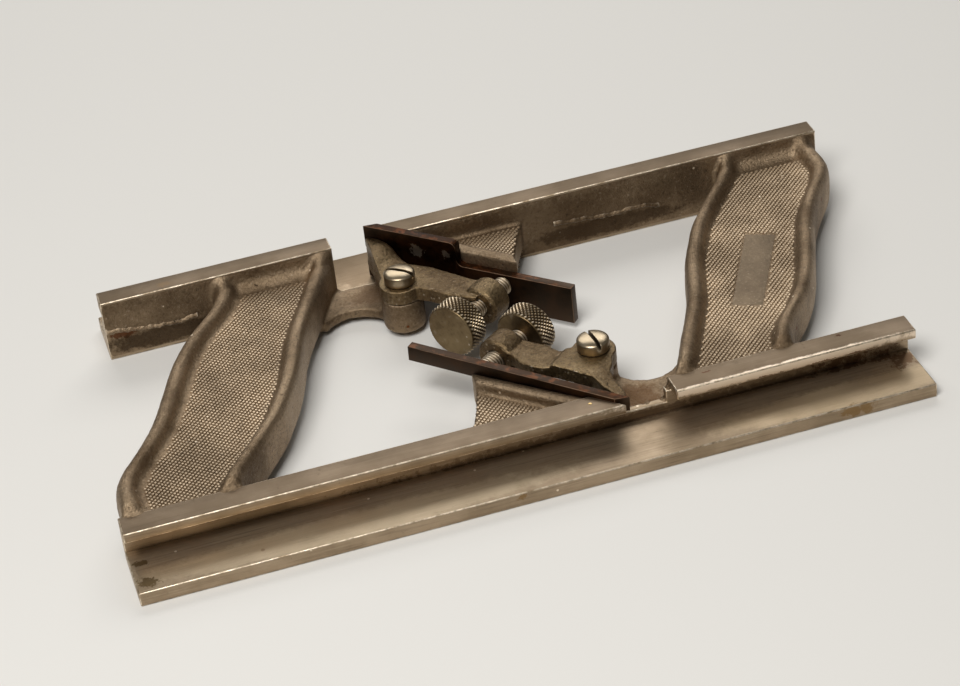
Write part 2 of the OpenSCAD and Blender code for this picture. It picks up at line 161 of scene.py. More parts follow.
class Coat:
    """One metal in the making: its nodes, and its colour, which is laid on in layers."""

    def __init__(self, name: str, base: str) -> None:
        """Starts a bare metal.

        Args:
            name: Name of the material.
            base: Hex colour of the lowest layer.
        """
        self.material = bpy.data.materials.new(name)
        self.material.use_nodes = True
        self.tree = self.material.node_tree
        self.shader = self.tree.nodes["Principled BSDF"]
        self.shader.inputs["Metallic"].default_value = 1.0
        self.place = self.millimetres()
        self.colour = self.add("ShaderNodeRGB").outputs[0]
        self.colour.default_value = linear(base)

    def add(self, kind: str, settings: dict[str | int, Any] | None = None,
            links: dict[str | int, bpy.types.NodeSocket] | None = None) -> bpy.types.Node:
        """Adds one node, with its settings and its incoming links.

        Args:
            kind: Blender's identifier of the node type.
            settings: Values by attribute name, input name or input number.
            links: Output sockets by the input name or number that they feed.

        Returns:
            The new node.
        """
        node = self.tree.nodes.new(kind)
        for name, value in (settings or {}).items():
            if isinstance(name, str) and hasattr(node, name):
                setattr(node, name, value)
            else:
                node.inputs[name].default_value = value
        for name, socket in (links or {}).items():
            self.tree.links.new(socket, node.inputs[name])
        return node

    def millimetres(self, finer: Sequence[float] = (1, 1, 1)) -> bpy.types.NodeSocket:
        """Object coordinates in millimetres, so that a noise scale is one over a real size.

        Args:
            finer: How much finer a pattern is along each axis.

        Returns:
            The place as a vector.
        """
        place = self.add("ShaderNodeTexCoord").outputs["Object"]
        scale = {"Scale": tuple(f / MM for f in finer)}
        return self.add("ShaderNodeMapping", scale, {"Vector": place}).outputs[0]

    def lay(self, colour: str, mask: bpy.types.NodeSocket, start: float, full: float,
            strength: float = 1.0) -> None:
        """Lays a colour over what is there already.

        Args:
            colour: Hex colour of the layer.
            mask: Value that says where the layer lies.
            start: Mask value from which the layer shows.
            full: Mask value from which it has its whole strength.
            strength: Share of what is below that it then hides.
        """
        share = self.add("ShaderNodeMapRange", soft_step(start, full, most=strength),
                         {"Value": mask})
        mixed = self.add("ShaderNodeMix", {"data_type": "RGBA", 7: linear(colour)},
                         {0: share.outputs[0], 6: self.colour})
        self.colour = mixed.outputs[2]

    def lay_specks(self, colour: str, apart_mm: float, size_mm: float, share: float) -> None:
        """Lays scattered small spots.

        Args:
            colour: Hex colour of the spots.
            apart_mm: Mean distance between possible spots.
            size_mm: Radius of a spot.
            share: Share of the possible spots that show.
        """
        cells = self.add("ShaderNodeTexVoronoi", {"Scale": 1 / apart_mm}, {"Vector": self.place})
        lot = self.add("ShaderNodeSeparateColor", {}, {0: cells.outputs["Color"]})
        # a spot that doesn't show counts as a whole cell further away
        hidden = self.add("ShaderNodeMath", {"operation": "GREATER_THAN", 1: share},
                          {0: lot.outputs[0]})
        away = self.add("ShaderNodeMath", {"operation": "ADD"},
                        {0: cells.outputs["Distance"], 1: hidden.outputs[0]})
        size = size_mm / apart_mm
        self.lay(colour, away.outputs[0], start=size, full=size * 0.6)

    def lay_spot(self, spot: Spot) -> None:
        """Lays one soft spot whose edge wanders with a noise.

        Args:
            spot: Where the spot lies and how it looks.
        """
        scale = tuple(1 / s for s in spot.size)
        offset = tuple(-c / s for c, s in zip(spot.centre, spot.size))
        near = self.add("ShaderNodeMapping", {"Scale": scale, "Location": offset},
                        {"Vector": self.place})
        reach = self.add("ShaderNodeVectorMath", {"operation": "LENGTH"}, {0: near.outputs[0]})
        edge = Blotches(min(spot.size[0], 3.0), 5, 0.75, spot.centre[0])
        wander = self.add("ShaderNodeTexNoise", edge.settings(), {"Vector": self.place})
        level = self.add("ShaderNodeMath", {"operation": "MULTIPLY_ADD", 1: spot.ragged},
                         {0: wander.outputs["Fac"], 2: reach.outputs["Value"]})
        # the noise is 0.48 in the mean, so the edge keeps its place at any raggedness
        shift = 0.48 * spot.ragged
        self.lay(spot.colour, level.outputs[0], start=1.0 + shift, full=0.65 + shift,
                 strength=spot.strength)

    def done(self, cloud: bpy.types.NodeSocket, rough: tuple[float, float],
             height: bpy.types.NodeSocket, depth_mm: float, strength: float) -> bpy.types.Material:
        """Feeds the shader and hands the material over.

        Args:
            cloud: Noise that the roughness follows.
            rough: Least and greatest roughness.
            height: Relief of the surface, where 1 is its whole depth.
            depth_mm: Depth of the relief.
            strength: Strength of the relief.

        Returns:
            The material.
        """
        gloss = self.add("ShaderNodeMapRange", soft_step(0.3, 0.7, *rough), {"Value": cloud})
        bump = self.add("ShaderNodeBump", {"Strength": strength, "Distance": depth_mm * MM},
                        {"Height": height})
        for name, socket in (("Base Color", self.colour), ("Roughness", gloss.outputs[0]),
                             ("Normal", bump.outputs[0])):
            self.tree.links.new(socket, self.shader.inputs[name])
        return self.material


# Finishes


class Texture(Enum):
    """Grain of a nickel plated surface: its noise, and how much finer it is along each axis."""

    CAST = (Blotches(0.8, 4, 0.7, 1), (1, 1, 1))
    # a milling cutter leaves long streaks along the rails
    MILLED = (Blotches(1.0, 5, 0.7, 1), (0.05, 1.6, 1.6))
    TURNED = (Blotches(2.5, 3, 0.6, 1), (1, 1, 1))


@dataclass(frozen=True)
class Finish:
    """What every finish has: its name, the colour of its rust, and its spots."""

    name: str
    rust: str = "#6f4023"
    spots: tuple[Spot, ...] = ()

    def material(self) -> bpy.types.Material:
        """Builds the finish from nodes, which each kind of metal does in its own way."""
        raise NotImplementedError


@dataclass(frozen=True)
class NickelPlate(Finish):
    """Worn nickel plate on iron.

    A warm grey metal with a satin gloss. Tarnish lies on it in soft brown clouds, grime in its
    grain and pits, painted shade in its creases, and the plate is brighter where hands and boards
    rub it.
    """

    texture: Texture = Texture.CAST
    plate: str = "#9b866c"
    tarnish: str = "#725f49"
    bright: str = "#eadac2"
    # colour of the grime in grain and pits, and of the painted shade in creases and hollows
    dirt: str = "#2c2118"
    cloud_mm: float = 22.0
    rough: float = 0.5
    grain_depth_mm: float = 0.3
    soil: float = 0.45
    pits: float = 0.5
    pit_size_mm: float = 1.3
    wear: float = 0.4
    # strength of the painted shade in creases
    crease: float = 0.7
    relief: bool = False
    # strength of the painted shade at the feet of raised points
    groove: float = 0.6
    crown: float = 0.75

    def material(self) -> bpy.types.Material:
        """Builds the material from nodes.

        Returns:
            The new material.
        """
        coat = Coat(self.name, self.plate)
        patterns = ((Blotches(self.cloud_mm, 6, 0.6), (1, 1, 1)), self.texture.value,
                    (Blotches(self.pit_size_mm, 4, 0.7, 2), (1, 1, 1)))
        cloud, grain, holes = (
            coat.add("ShaderNodeTexNoise", blotches.settings(),
                     {"Vector": coat.millimetres(finer)}).outputs["Fac"]
            for blotches, finer in patterns)
        pit = coat.add("ShaderNodeMapRange", soft_step(0.62, 0.72), {"Value": holes}).outputs[0]
        coat.lay(self.tarnish, cloud, start=0.38, full=0.66)
        coat.lay(self.dirt, grain, start=0.52, full=0.3, strength=self.soil)
        coat.lay(self.bright, grain, start=0.55, full=0.75, strength=0.3)
        coat.lay(self.dirt, pit, start=0.0, full=1.0, strength=self.pits)
        coat.lay_specks(self.rust, apart_mm=11, size_mm=0.75, share=0.2)
        coat.lay_specks(self.bright, apart_mm=5, size_mm=0.45, share=0.28)
        for spot in self.spots:
            coat.lay_spot(spot)
        self.weather(coat)
        height = coat.add("ShaderNodeMath", {"operation": "SUBTRACT"}, {0: grain, 1: pit})
        return coat.done(cloud, (self.rough - 0.05, self.rough + 0.07), height.outputs[0],
                         self.grain_depth_mm, strength=0.8)

    def weather(self, coat: Coat) -> None:
        """Adds painted shade in creases and at the feet of raised points, and bright wear on
        ridges.

        Args:
            coat: The metal, with its other layers.
        """
        # painted shade: darker in creases and hollows, where nearby surfaces close in
        sky = coat.add("ShaderNodeAmbientOcclusion", {"samples": 6, "Distance": 2.2 * MM})
        coat.lay(self.dirt, sky.outputs["AO"], start=0.66, full=0.25, strength=self.crease)
        if self.relief:
            lift = coat.add("ShaderNodeAttribute", {"attribute_name": "lift"}).outputs["Fac"]
            # painted shade at the feet of raised points, where the lift is low
            coat.lay(self.dirt, lift, start=0.7, full=0.0, strength=self.groove)
            coat.lay(self.bright, lift, start=self.crown, full=1.0, strength=self.wear)
        else:
            ridge = coat.add("ShaderNodeNewGeometry").outputs["Pointiness"]
            coat.lay(self.bright, ridge, start=0.53, full=0.64, strength=self.wear)


@dataclass(frozen=True)
class PatinatedSteel(Finish):
    """Hardened tool steel with an old brown-black patina.

    Nearly black with a dull gloss. Orange rust lies on faces that look up, and plain
    grey steel shows where the patina is rubbed off.
    """

    patina: str = "#38200f"
    shade: str = "#190d06"
    steel: str = "#8a7b69"
    rust_share: float = 0.6

    def material(self) -> bpy.types.Material:
        """Builds the material from nodes.

        Returns:
            The new material.
        """
        coat = Coat(self.name, self.shade)
        place = {"Vector": coat.place}
        cloud, speck = (coat.add("ShaderNodeTexNoise", blotches.settings(), place).outputs["Fac"]
                        for blotches in (Blotches(8, 6, 0.65), Blotches(3.2, 6, 0.72, 1)))
        face = coat.add("ShaderNodeNewGeometry")
        up = coat.add("ShaderNodeSeparateXYZ", {}, {0: face.outputs["Normal"]}).outputs["Z"]
        damp = coat.add("ShaderNodeMapRange", soft_step(0.2, 0.9, most=0.14), {"Value": up})
        level = coat.add("ShaderNodeMath", {"operation": "ADD"}, {0: speck, 1: damp.outputs[0]})
        coat.lay(self.patina, cloud, start=0.35, full=0.65)
        coat.lay(self.rust, level.outputs[0], start=0.63, full=0.75, strength=self.rust_share)
        for spot in self.spots:
            coat.lay_spot(spot)
        coat.lay(self.steel, face.outputs["Pointiness"], start=0.52, full=0.6, strength=0.5)
        return coat.done(cloud, (0.4, 0.58), speck, depth_mm=0.08, strength=0.6)


# Brown rust and old spills on the milled rails, where boards have not rubbed them away, dull
# tarnish on the tonguing fence's top, painted shade on the rails' tops and under the skate, and
# painted light on the grooving fence's top and the skate's front face.
RAIL_SPOTS = (
    # painted shade: the tops of both rails made darker
    Spot((0.0, -52.0, 14.5), (400, 14, 1.0), "#655646", 0.7, 0.9),
    Spot((0.0, 54.6, 20.6), (400, 14, 1.0), "#584a3a", 0.8, 0.9),
    Spot((-10.0, 62.0, 4.4), (48, 16, 1.4), "#6a5842", 0.75, 0.9),
    # painted light: two pale pools on the grooving fence's top
    Spot((-62.0, -64.5, 4.4), (76, 7, 1.2), "#dccaac", 0.45, 0.7),
    Spot((84.0, -64.5, 4.4), (50, 7, 1.2), "#dcc6a4", 0.55, 0.7),
    # painted highlight along the skate's front face
    Spot((66.0, -56.4, 13.2), (56, 1.9, 2.2), "#f6e4ce", 0.95, 1.2),
    # painted shadow along the skate's underside, in rust brown
    Spot((84.0, -56.2, 11.2), (34, 0.6, 0.8), "#6e4a2c", 0.8),
    Spot((-117.6, -66.0, 4), (3.8, 2.9, 3), "#64502f", 0.8),
    Spot((-118.6, -56.8, 4), (2.4, 1.4, 3), "#64502f", 0.8),
    Spot((103.6, -55.0, 4), (5.0, 4.0, 3)),
    # painted shadow on the stop face under the skate
    Spot((90.0, -51.5, 6), (17, 1.6, 4), "#5a3b22", 0.7),
    Spot((30.0, -50.8, 5), (90, 0.8, 2.5), "#5c4630", 0.5),
    Spot((84.0, -70, 2.5), (5.0, 2, 2.2), "#8a6c42"),
    Spot((-14.9, -70, 3.0), (1.6, 2, 1.2), "#8a6c42"),
    Spot((86.7, -49.5, 14), (1.3, 0.8, 1), "#4a2c1a", 0.9),
    Spot((46.6, -50.5, 14), (1.4, 0.6, 1), "#5a3420", 0.8),
    Spot((70.0, 49.0, 20), (1.5, 0.8, 1.5), "#5a3420", 0.7),
    Spot((-88.0, 54.0, 20), (3.0, 1.6, 1), "#7c6448", 0.5))
# Rust below the casting's flash, grime and painted shade on the tonguing rail's inner wall, and
# painted shadow where the rails and levers shade the skin.
SKIN_SPOTS = (
    # grime and painted shade darken the tonguing rail's inner wall
    Spot((24.0, 50.5, 9.0), (52, 3, 13), "#54422f", 0.55, 1.2),
    Spot((-103.5, 50.5, 8.4), (6.5, 2, 1.6), "#5c3218", 0.85),
    # painted shadow below the two flash lines
    Spot((-90.0, 50.5, 4.6), (24, 2, 4.6), "#3a2b1c", 0.8, 1.5),
    Spot((52.0, 50.5, 5.0), (30, 2, 4.0), "#3c2c1c", 0.7, 1.5),
    # painted shade on the webs under the levers
    Spot((24.0, -44.0, 7.4), (14, 7, 3), "#664628", 0.6, 2.0),
    Spot((-24.0, 44.0, 5.2), (14, 7, 3), "#664a30", 0.5, 2.0))
# The rear cutter's patina is rubbed through to grey steel beside its step.
BLADE_SPOTS = (Spot((-10.5, 43.0, 17.5), (3.0, 3.0, 2.4), "#8c8072", 0.75),
               Spot((-4.0, 36.5, 17.5), (1.8, 1.8, 1.8), "#8c8072", 0.6))
# Satin and warm grey, with the fine pimples that the sand leaves under the plate.
CAST = NickelPlate("nickel_plate_on_sand_cast_iron", grain_depth_mm=0.42, spots=SKIN_SPOTS)
# Smoother and brighter than the skin, with long faint streaks from the milling cutter.
MILLED = NickelPlate("nickel_plate_on_milled_iron", texture=Texture.MILLED, plate="#b39f86",
                     tarnish="#9c8970", rough=0.48, grain_depth_mm=0.05, soil=0.3, pits=0.25,
                     wear=0.0, crease=0.5, spots=RAIL_SPOTS)
# Nearly white: plate rubbed bright by boards and a painted glint along the rails' edges, broken
# every few millimetres by plate that still has its tarnish.
WORN_AND_GLINT = NickelPlate("plate_rubbed_bright_at_an_edge", plate="#ecdcc4", tarnish="#98846a",
                   cloud_mm=3.5, rough=0.4, grain_depth_mm=0.15, soil=0.3, wear=0.0, crease=0.4)
# Rows of small bright points on a dull ground, with painted shade at the points' feet.
CHECKERED = NickelPlate("nickel_plate_on_checkering", plate="#b0997c", tarnish="#8a755b",
                        wear=0.25, grain_depth_mm=0.02, crease=0.2, relief=True)
# Flat and dull, so that it reads as a plain field in the checkering.
PATCH = NickelPlate("nickel_plate_on_bare_patch", plate="#77644c", tarnish="#62503b", rough=0.6,
                    grain_depth_mm=0.2)
# Coarser than the stock's skin, dark in its pits and glossy on its lumps.
LEVER = NickelPlate("nickel_plate_on_rough_cast_lever", plate="#8f7a5a", tarnish="#66533b",
                    rough=0.35, grain_depth_mm=0.5, soil=0.7, pits=0.9, pit_size_mm=0.8)
# The glossiest metal of the plane, with soft clouds of tarnish.
SCREW = NickelPlate("nickel_plate_on_polished_screw", texture=Texture.TURNED, plate="#a3937a",
                    tarnish="#7d6b54", rough=0.35, grain_depth_mm=0.01, soil=0.1, pits=0.3,
                    wear=0.3)
# Bright points and crests over grooves darkened with painted shade.
KNURLED = NickelPlate("nickel_plate_on_knurled_screw", texture=Texture.TURNED, plate="#ae9872",
                      tarnish="#867050", rough=0.38, grain_depth_mm=0.03, soil=0.3, pits=0.3,
                      wear=1.0, crease=0.3, relief=True, groove=0.85, crown=0.35)
# One small yellow glint in the grey rail.
BRASS = NickelPlate("polished_brass_plug", texture=Texture.TURNED, plate="#e8c98c",
                    tarnish="#c9a25e", rough=0.3, pits=0.0, wear=0.0, crease=0.2)
# Brown-black and dull, with orange rust on the upper edges.
BLADE = PatinatedSteel("patinated_tool_steel", spots=BLADE_SPOTS)
# A thin lighter line along the cutters' edges.
BLADE_EDGE = PatinatedSteel("tool_steel_rubbed_at_an_edge", patina="#7d6450", shade="#4d3627",
                            rust_share=0.3)


# Mesh helpers


def cad_copy(node: bpy.types.Object) -> bmesh.types.BMesh:
    """Copies a CAD node's mesh and merges its loose triangles.

    Args:
        node: CAD node, which is left as it is.

    Returns:
        The joined copy.
    """
    made = bmesh.new()
    made.from_mesh(node.data)
    bmesh.ops.remove_doubles(made, verts=made.verts, dist=0.0005 * MM)
    return made


def prism(outline: Sequence[tuple[float, float]], place: Callable[[float, float], Vector],
          along: Vector) -> bmesh.types.BMesh:
    """Extrudes an outline.

    Args:
        outline: Corners of the outline, in millimetres.
        place: Turns one corner into a point in metres.
        along: Path of the extrusion, in metres.

    Returns:
        The closed prism.
    """
    made = bmesh.new()
    face = made.faces.new([made.verts.new(place(*corner)) for corner in outline])
    grown = bmesh.ops.extrude_face_region(made, geom=[face])
    top = [g for g in grown["geom"] if isinstance(g, bmesh.types.BMVert)]
    bmesh.ops.translate(made, verts=top, vec=along)
    bmesh.ops.recalc_face_normals(made, faces=made.faces)
    return made


def block(size: Sequence[float], centre: Sequence[float], turn: float) -> bmesh.types.BMesh:
    """Makes a block that is turned about the upright line through its centre.

    Args:
        size: Its sizes along its own X, Y and Z, in millimetres.
        centre: Its centre, in millimetres.
        turn: Its turn, in degrees.

    Returns:
        The block.
    """
    made = bmesh.new()
    place = (Matrix.Translation(Vector(centre) * MM) @ Matrix.Rotation(math.radians(turn), 4, "Z")
             @ Matrix.Diagonal((*size, 1)))
    bmesh.ops.create_cube(made, size=MM, matrix=place)
    return made


def revolve(profile: Sequence[tuple[float, float]], steps: int) -> bmesh.types.BMesh:
    """Turns a profile about Z into a closed solid.

    Args:
        profile: Points as radius and height, in millimetres, from axis to axis.
        steps: Facets round the axis.

    Returns:
        The closed solid.
    """
    made = bmesh.new()
    verts = [made.verts.new((r * MM, 0, z * MM)) for r, z in profile]
    edges = [made.edges.new(pair) for pair in zip(verts, verts[1:])]
    bmesh.ops.spin(made, geom=verts + edges, cent=(0, 0, 0), axis=(0, 0, 1), angle=math.tau,
                   steps=steps, use_merge=True)
    bmesh.ops.remove_doubles(made, verts=made.verts, dist=0.002 * MM)
    bmesh.ops.recalc_face_normals(made, faces=made.faces)
    return made


def as_object(made: bmesh.types.BMesh, name: str) -> bpy.types.Object:
    """Puts a bmesh in the scene as an object at the origin.

    Args:
        made: Mesh to use up.
        name: Name of the object and its mesh.

    Returns:
        The object.
    """
    mesh = bpy.data.meshes.new(name)
    made.to_mesh(mesh)
    made.free()
    thing = bpy.data.objects.new(name, mesh)
    bpy.context.scene.collection.objects.link(thing)
    return thing


def add_mesh(whole: bmesh.types.BMesh, part: bmesh.types.BMesh) -> None:
    """Adds one bmesh to another and frees it.

    Args:
        whole: Mesh that grows.
        part: Mesh to use up.
    """
    mesh = bpy.data.meshes.new("part")
    part.to_mesh(mesh)
    part.free()
    whole.from_mesh(mesh)
    bpy.data.meshes.remove(mesh)


def settle(thing: bpy.types.Object) -> None:
    """Applies an object's modifiers to its mesh.

    Args:
        thing: Object whose modifiers become plain mesh.
    """
    graph = bpy.context.evaluated_depsgraph_get()
    mesh = bpy.data.meshes.new_from_object(thing.evaluated_get(graph))
    mesh.name = thing.name
    thing.modifiers.clear()
    thing.data = mesh


def carve(thing: bpy.types.Object, spaces: Sequence[bmesh.types.BMesh]) -> None:
    """Cuts shapes out of an object.

    Args:
        thing: Object to cut.
        spaces: Closed shapes, each used up.
    """
    for space in spaces:
        cutter = as_object(space, "cutting_shape")
        step = thing.modifiers.new("cut", "BOOLEAN")
        step.operation = "DIFFERENCE"
        step.solver = "EXACT"
        step.object = cutter
        settle(thing)
        bpy.data.objects.remove(cutter)


def ease_edges(thing: bpy.types.Object, width_mm: float, segments: int = 3,
               angle: float = 30.0, worn: bool = False) -> None:
    """Rounds an object's sharp outer edges.

    Args:
        thing: Object to finish.
        width_mm: Width of the rounding.
        segments: Facets across the rounding.
        angle: Edges sharper than this, in degrees, are rounded.
        worn: Whether the rounding takes the object's second material, which on the rails is rubbed
            plate with a painted glint.
    """
    needle = 0.004
    made = bmesh.new()
    made.from_mesh(thing.data)
    sharp = [e for e in made.edges
             if e.is_manifold and e.is_convex and e.calc_face_angle() > math.radians(angle)]
    bmesh.ops.bevel(made, geom=sharp, offset=width_mm * MM, segments=segments, profile=0.5,
                    affect="EDGES", clamp_overlap=False, material=1 if worn else -1)
    bmesh.ops.dissolve_degenerate(made, edges=made.edges, dist=needle * MM)
    made.to_mesh(thing.data)
    made.free()


def roughen(thing: bpy.types.Object, size_mm: float, depth_mm: float) -> None:
    """Gives a finely meshed object the uneven skin of a sand casting.

    Args:
        thing: Object to roughen.
        size_mm: Size of the largest lumps.
        depth_mm: How far the skin moves in or out.
    """
    mesh = thing.data
    depth = depth_mm * MM
    moved = [v.co + v.normal * (noise.fractal(v.co / (size_mm * MM), 0.8, 2.0, 3) * depth)
             for v in mesh.vertices]
    for vert, place in zip(mesh.vertices, moved):
        vert.co = place
    mesh.update()


def soften(thing: bpy.types.Object, voxel_mm: float, rounds: int) -> None:
    """Melts an object's joins and edges together, as a sand mould does.

    Args:
        thing: Closed object.
        voxel_mm: Size of the new mesh's facets.
        rounds: Smoothing passes, which set how soft the edges are.
    """
    grid = thing.modifiers.new("grid", "REMESH")
    grid.mode = "VOXEL"
    grid.voxel_size = voxel_mm * MM
    grid.adaptivity = 0.0
    grid.use_smooth_shade = True
    smooth = thing.modifiers.new("smooth", "SMOOTH")
    smooth.factor = 0.5
    smooth.iterations = rounds
    settle(thing)


@dataclass
class Shop:
    """What every sub-assembly needs: the frame's nodes and the finished materials."""

    frame: dict[str, Any]
    materials: dict[str, bpy.types.Material] = field(default_factory=dict)

    def node(self, name: str) -> bpy.types.Object:
        """CAD node of that name."""
        return self.frame["nodes"][name]

    def casting(self) -> BVHTree:
        """Surface of the CAD casting, for finding places on it."""
        copy = cad_copy(self.node("stock"))
        surface = BVHTree.FromBMesh(copy)
        copy.free()
        return surface

    def deliver(self, thing: bpy.types.Object, body: str, slot: Slot, finishes: Sequence[Finish],
                crisp: float | None = None, replaces: str | None = None) -> None:
        """Dresses a finished shape and ties it to the frame.

        Args:
            thing: The piece.
            body: CAD body that it rides on.
            slot: The record's slot that its finish comes from; not used.
            finishes: Its finishes, in the order of its faces' material numbers.
            crisp: Angle in degrees from which its edges aren't shaded smooth.
            replaces: CAD node that it stands for.
        """
        for finish in finishes:
            if finish.name not in self.materials:
                self.materials[finish.name] = finish.material()
            thing.data.materials.append(self.materials[finish.name])
        thing.data.shade_smooth()
        if crisp is not None:
            thing.data.set_sharp_from_angle(angle=math.radians(crisp))
        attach(thing, body)
        if replaces is not None:
            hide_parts(replaces)
        LOG.info("%s rides on %s, %d faces", thing.name, body, len(thing.data.polygons))


# Stock


@dataclass
class Stock:
    """The iron casting: cast skin, two milled rails, a plug and the mould's flash."""

    shop: Shop
    rail_length: float = 229.0
    stagger: float = 14.0
    depth: float = 140.0
    fence_thick: float = 4.2
    fence_width: float = 19.5
    stop_web: float = 2.5
    skate_reach: float = 5.6
    skate_low: float = 11.15
    skate_top: float = 14.05
    tongue_fence: float = 12.0
    sole_thick: float = 6.8
    sole_top: float = 20.1
    slot_depth: float = 4.8
    slot_low: float = 10.225
    slot_top: float = 14.975
    web_top: float = 7.4
    bed_face: float = -24.9
    mouth_end: float = 35.79
    # every mouth's space ends well above the rails
    mouth_top: float = 30.0
    middle: float = 10.0
    panel: float = 13.6
    handle_middle: float = 79.0
    handle_lean: float = 0.48
    rim_nose: float = 4.0
    # a rim's roll above the middle, as distance from the handle's edge and height
    roll: Sequence[tuple[float, float]] = (
        (0.25, 11), (0.1, 13.4), (0.35, 15.2), (1.2, 16.7), (2.6, 17.35), (4.1, 17.15),
        (5.3, 16.1), (6.0, 14.6), (6.25, 13.2), (6.25, 11))
    # how far the rails stand out of the casting, or dip into it where they are hidden
    proud: float = 0.06
    sink: float = 0.08
    strip: float = 0.75
    # width of the rails' rounded edges, which carry rubbed plate and a painted glint
    edge_wear: float = 0.32
    plug_x: float = 11.9
    plug_inset: float = 0.9

    @property
    def half(self) -> float:
        """Half of the stock's depth."""
        return self.depth / 2

    @property
    def stop(self) -> float:
        """Distance of the depth stop's face from the middle."""
        return self.half - self.fence_width

    def build(self) -> None:
        """Makes every piece of the casting."""
        self.cast_skin()
        self.grooving_rail()
        self.tonguing_rail()
        self.plug()
        wall = self.shop.casting()
        paths = (((-107.4, 10.0), (-103, 9.8), (-97, 8.8), (-91, 8.1), (-86, 7.9), (-79, 8.9)),
                 ((34, 9.8), (43, 9.1), (49, 8.4), (55, 8.3), (62, 8.8), (69, 7.4)))
        for number, path in enumerate(paths, 1):
            self.flash_line(wall, path, number)

    def cast_skin(self) -> None:
        """Rough casting between the rails: a softened copy of the CAD casting."""
        made = cad_copy(self.shop.node("stock"))
        # cut just inside the faces that the rails show, and above the fences' undersides
        front = -(self.stop - 0.3)
        rear = self.half - self.tongue_fence - self.slot_depth - 0.2
        for point, away in (((0, front, 0), (0, -1, 0)), ((0, rear, 0), (0, 1, 0)),
                            ((0, 0, 0.4), (0, 0, -1))):
            geometry = made.verts[:] + made.edges[:] + made.faces[:]
            cut = bmesh.ops.bisect_plane(made, geom=geometry, plane_co=Vector(point) * MM,
                                         plane_no=away, clear_outer=True)
            rim = [g for g in cut["geom_cut"] if isinstance(g, bmesh.types.BMEdge)]
            bmesh.ops.holes_fill(made, edges=rim)
        skin = BVHTree.FromBMesh(made)
        for handle in (-1, 1):
            for side in (-1, 1):
                add_mesh(made, self.rim_roll(skin, handle, side))
        thing = as_object(made, "cast_skin")
        soften(thing, voxel_mm=0.73, rounds=4)
        roughen(thing, size_mm=2.2, depth_mm=0.07)
        self.shop.deliver(thing, "stock", Slot.NICKEL, [CAST], replaces="stock")

    def rim_roll(self, skin: BVHTree, handle: int, side: int) -> bmesh.types.BMesh:
        """Full round roll of a handle's rim, from the grooving rail to the tonguing rail.

        Args:
            skin: Casting that gives the handle's edges.
            handle: -1 for the left handle and 1 for the right one.
            side: -1 for the rim on a handle's left and 1 for that on its right.

        Returns:
            The closed roll, to be melted into the casting.
        """
        front = -(self.stop - self.stop_web)
        inside_rail = 46
        made = bmesh.new()
        rings = []
        edges: list[float] = []
        for y in [front + nose for nose in (-0.5, 0, 0.5, 1.2, 2.2, 4)] + list(range(-42, 52, 3)):
            x = handle * self.handle_middle + self.handle_lean * y
            start = Vector((x, y, self.middle)) * MM
            # inside the tonguing rail the roll goes straight on
            edge = (skin.ray_cast(start, Vector((side, 0, 0)))[0].x / MM if y < inside_rail
                    else 2 * edges[-1] - edges[-2])
            edges.append(edge)
            short = max(0.0, 1 - max(0.0, y - front) / self.rim_nose)
            rise = math.sqrt(1 - short ** 2)
            upper = [(u, z if z < self.panel else self.panel + (z - self.panel) * rise)
                     for u, z in self.roll]
            loop = upper + [(u, 2 * self.middle - z) for u, z in reversed(upper)]
            verts = [made.verts.new(Vector((edge - side * u, y, z)) * MM) for u, z in loop]
            rings.append([made.edges.new(pair) for pair in zip(verts, verts[1:] + verts[:1])])
        for near, far in zip(rings, rings[1:]):
            bmesh.ops.bridge_loops(made, edges=near + far)
        bmesh.ops.holes_fill(made, edges=rings[0] + rings[-1])
        bmesh.ops.recalc_face_normals(made, faces=made.faces)
        return made

    def mouth(self, low: float, end: float, reach: tuple[float, float],
              ahead: float = 0.0) -> bmesh.types.BMesh:
        """Space of a mouth in front of a bed, from the bed's 45 degree face to its end.

        Args:
            low: Underside of the space, in millimetres.
            end: Where the space ends along X.
            reach: Least and greatest Y of the space, for the grooving rail.
            ahead: How far in front of the bed's face the space starts.

        Returns:
            The space as a closed prism.
        """
        near, far = reach
        face = self.bed_face * math.sqrt(2) + ahead
        outline = [(face - near, near), (end, near), (end, far), (face - far, far)]
        return prism(outline, lambda x, y: Vector((x, y, low)) * MM,
                     Vector((0, 0, self.mouth_top - low)) * MM)

    def rail(self, name: str, profile: Sequence[tuple[float, float]], shift: float,
             spaces: Sequence[bmesh.types.BMesh]) -> None:
        """Extrudes a rail's profile along X, cuts its mouth and wears its edges.

        Args:
            name: Name of the piece.
            profile: Corners as Y and Z.
            shift: X of the rail's middle.
            spaces: Spaces of its mouth, each used up.
        """
        start = shift - self.rail_length / 2 - self.proud
        made = prism(profile, lambda y, z: Vector((start, y, z)) * MM,
                     Vector((self.rail_length + 2 * self.proud, 0, 0)) * MM)
        thing = as_object(made, name)
        carve(thing, spaces)
        # the rounded edges get rubbed plate with a painted glint
        ease_edges(thing, self.edge_wear, angle=60, worn=True)
        self.shop.deliver(thing, "stock", Slot.NICKEL, [MILLED, WORN_AND_GLINT], crisp=40)

    def back_face(self, side: float, depth: float, top: float) -> list[tuple[float, float]]:
        """Inner face of a rail: a crisp strip under its top edge, then hidden in the skin.

        Args:
            side: -1 for the grooving rail and 1 for the tonguing rail.
            depth: Distance of the face from the middle.
            top: Top of the rail.

        Returns:
            Corners as Y and Z, from the top down.
        """
        strip = (depth - 0.14) * side
        hidden = (depth + self.sink) * side
        low = top - self.strip
        return [(strip, top), (strip, low), (hidden, low - 0.15), (hidden, 0)]

